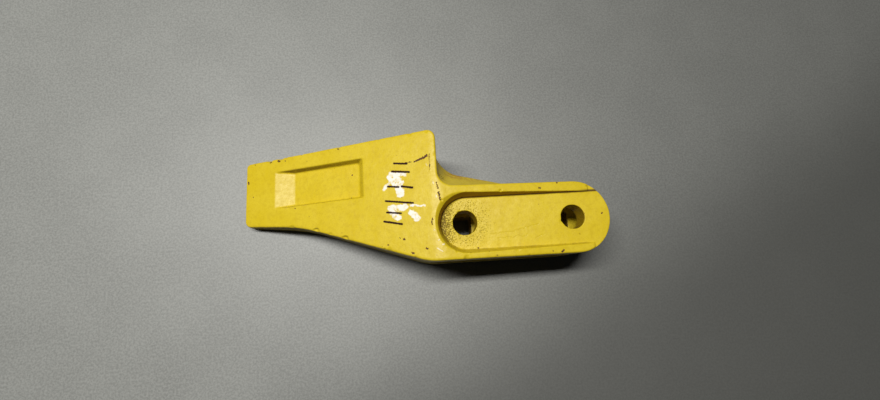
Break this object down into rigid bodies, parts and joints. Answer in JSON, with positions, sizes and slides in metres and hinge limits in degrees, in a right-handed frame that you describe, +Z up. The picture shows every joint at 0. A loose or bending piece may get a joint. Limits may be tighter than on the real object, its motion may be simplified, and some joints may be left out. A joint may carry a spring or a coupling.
{
  "type": "excavator bucket side tooth",
  "caption": "Cast bolt-on side tooth for an excavator bucket: a forked shank with two bolt holes, a jaw for the bucket's edge and a chisel blade.",
  "frame": {"origin": "on the front bolt hole's axis, at the seat under the upper leg, which is the jaw's upper face", "axes": "+X to the rear of the fork, with the blade's tip at -X; +Y to the side that the blade's wing stands out on; +Z up, along the bolt holes"},
  "size_m": [0.316, 0.1065, 0.0766],
  "materials": {
    "yellow_paint": "semi-gloss yellow enamel over a rough steel casting, with small chips and rust specks"
  },
  "bodies": {
    "root": {"tooth_casting": "yellow_paint"}
  },
  "joints": []
}
